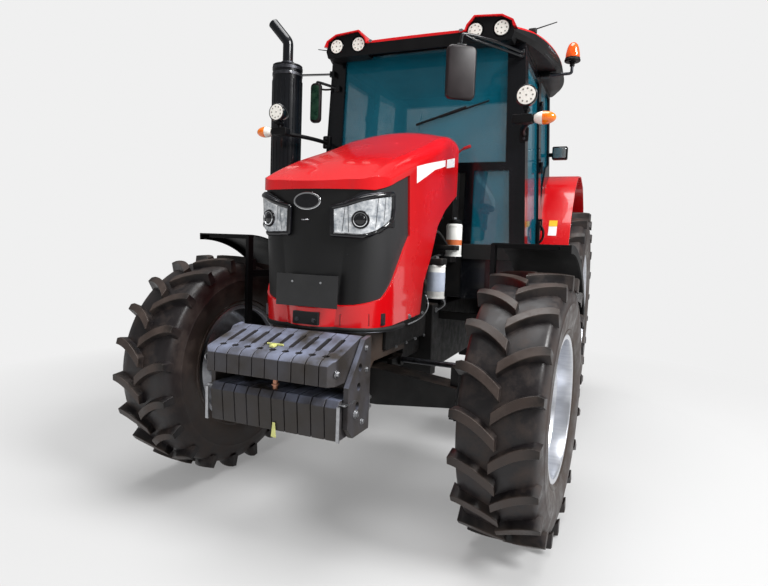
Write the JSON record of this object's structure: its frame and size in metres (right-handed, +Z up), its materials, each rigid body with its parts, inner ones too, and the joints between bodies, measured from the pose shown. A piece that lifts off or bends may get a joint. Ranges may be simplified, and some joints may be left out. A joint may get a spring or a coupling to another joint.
{
  "type": "farm tractor",
  "caption": "Four-wheel-drive farm tractor with a closed glazed cab, tilting bonnet, stacked front weights, upright exhaust, chevron-lugged tyres and a rear three-point hitch.",
  "frame": {"origin": "on the ground, below the middle of the bounding box", "axes": "+Z up, -Y towards the front of the tractor, +X towards its left side, +Y towards the rear hitch"},
  "size_m": [2.3318, 4.284, 2.9541],
  "materials": {
    "tread_rubber": "dusty black tread rubber",
    "rim_silver": "silver wheel paint",
    "chassis_black": "satin black chassis paint",
    "support_brown": "primed casting, dusty",
    "engine_grey": "painted iron block",
    "weight_iron": "dark grey painted iron",
    "body_red": "glossy red enamel",
    "grille_charcoal": "charcoal moulded plastic",
    "fender_black": "black moulded plastic",
    "lamp_lens": "clear lens over a bright reflector",
    "cab_black": "satin black frame paint",
    "cab_glass": "green tinted safety glass",
    "seat_fabric": "black seat cloth",
    "beacon_amber": "amber beacon",
    "filter_white": "white enamelled canister",
    "bright_steel": "bare machined steel"
  },
  "bodies": {
    "chassis": {"beacon": "beacon_amber", "cab_floor": "grille_charcoal", "cab_frame": "cab_black", "cab_glass": "cab_glass", "drawbar": "chassis_black", "engine": "engine_grey", "engine_filters": "filter_white", "exhaust": "chassis_black", "fender_rear_left": "body_red", "fender_rear_right": "body_red", "firewall": "grille_charcoal", "front_axle": "chassis_black", "front_drive_shaft": "chassis_black", "front_support": "support_brown", "fuel_tank": "chassis_black", "gearbox": "chassis_black", "hitch_frame": "chassis_black", "mirrors": "grille_charcoal", "pto_shaft": "bright_steel", "radiator": "chassis_black", "rear_axle": "chassis_black", "rear_lamps": "grille_charcoal", "roof": "body_red", "roof_lamps": "lamp_lens", "roof_trim": "cab_black", "seat": "seat_fabric", "side_console": "grille_charcoal", "side_lamps": "grille_charcoal", "steering_column": "grille_charcoal", "steps_left": "chassis_black", "weight_carrier": "chassis_black", "weights_lower": "weight_iron", "weights_upper": "weight_iron"},
    "knuckle_left": {"knuckle_left": "chassis_black", "fender_front_left": "fender_black"},
    "knuckle_right": {"knuckle_right": "chassis_black", "fender_front_right": "fender_black"},
    "wheel_front_left": {"tyre_front_left": "tread_rubber", "rim_front_left": "rim_silver"},
    "wheel_front_right": {"tyre_front_right": "tread_rubber", "rim_front_right": "rim_silver"},
    "wheel_rear_left": {"tyre_rear_left": "tread_rubber", "rim_rear_left": "rim_silver"},
    "wheel_rear_right": {"tyre_rear_right": "tread_rubber", "rim_rear_right": "rim_silver"},
    "steering_rod": {"steering_rod": "chassis_black"},
    "bonnet_lid": {"bonnet": "body_red", "grille": "grille_charcoal", "headlamps": "lamp_lens"},
    "door_left": {"door_left": "cab_black", "door_glass_left": "cab_glass"},
    "door_right": {"door_right": "cab_black", "door_glass_right": "cab_glass"},
    "lower_links": {"lower_links": "chassis_black"},
    "lift_arms": {"lift_arms": "chassis_black"},
    "lift_rods": {"lift_rods": "chassis_black"}
  },
  "joints": [
    {"name": "steer_left", "type": "hinge", "parent": "chassis", "child": "knuckle_left", "pos_m": [0.7, -1.26, 0.64871], "axis": [0, 0, 1], "range_deg": [-34.6, 41.4]},
    {"name": "steer_right", "type": "hinge", "parent": "chassis", "child": "knuckle_right", "pos_m": [-0.7, -1.26, 0.64871], "axis": [0, 0, 1], "range_deg": [-34.6, 41.4]},
    {"name": "steering_rod_slide", "type": "slide", "parent": "chassis", "child": "steering_rod", "axis": [-1, 0, 0], "range_m": [-0.10366, 0.12384]},
    {"name": "spin_front_left", "type": "hinge", "parent": "knuckle_left", "child": "wheel_front_left", "pos_m": [0.94457, -1.27453, 0.64871], "axis": [0.9982, -0.0593, 0], "continuous": true},
    {"name": "spin_front_right", "type": "hinge", "parent": "knuckle_right", "child": "wheel_front_right", "pos_m": [-0.94457, -1.24547, 0.64871], "axis": [0.9982, -0.0593, 0], "continuous": true},
    {"name": "spin_rear_left", "type": "hinge", "parent": "chassis", "child": "wheel_rear_left", "pos_m": [0.825, 1.16, 0.87524], "axis": [1, 0, 0], "continuous": true},
    {"name": "spin_rear_right", "type": "hinge", "parent": "chassis", "child": "wheel_rear_right", "pos_m": [-0.825, 1.16, 0.87524], "axis": [1, 0, 0], "continuous": true},
    {"name": "bonnet_hinge", "type": "hinge", "parent": "chassis", "child": "bonnet_lid", "pos_m": [0, -0.6, 1.99], "axis": [-1, 0, 0], "range_deg": [0, 50]},
    {"name": "door_left_hinge", "type": "hinge", "parent": "chassis", "child": "door_left", "pos_m": [0.77945, 0.285, 1.09], "axis": [-0.0516, 0, 0.9987], "range_deg": [0, 60]},
    {"name": "door_right_hinge", "type": "hinge", "parent": "chassis", "child": "door_right", "pos_m": [-0.77945, 0.285, 1.09], "axis": [-0.0516, 0, -0.9987], "range_deg": [0, 60]},
    {"name": "hitch_lift", "type": "hinge", "parent": "chassis", "child": "lower_links", "pos_m": [0, 1.316, 0.48], "axis": [1, 0, 0], "range_deg": [-22, 20]},
    {"name": "hitch_arms_turn", "type": "hinge", "parent": "chassis", "child": "lift_arms", "pos_m": [0, 1.316, 1.175], "axis": [1, 0, 0], "range_deg": [-22, 20]},
    {"name": "hitch_rods_turn", "type": "hinge", "parent": "lower_links", "child": "lift_rods", "pos_m": [0, 1.66068, 0.54078], "axis": [1, 0, 0], "range_deg": [-20, 22]}
  ],
  "couplings": [
    {"joint": "steer_right", "follows": "steer_left", "ratio": 1},
    {"joint": "steering_rod_slide", "follows": "steer_left", "m_per_rad": 0.17},
    {"joint": "hitch_arms_turn", "follows": "hitch_lift", "ratio": 1},
    {"joint": "hitch_rods_turn", "follows": "hitch_lift", "ratio": -1}
  ]
}
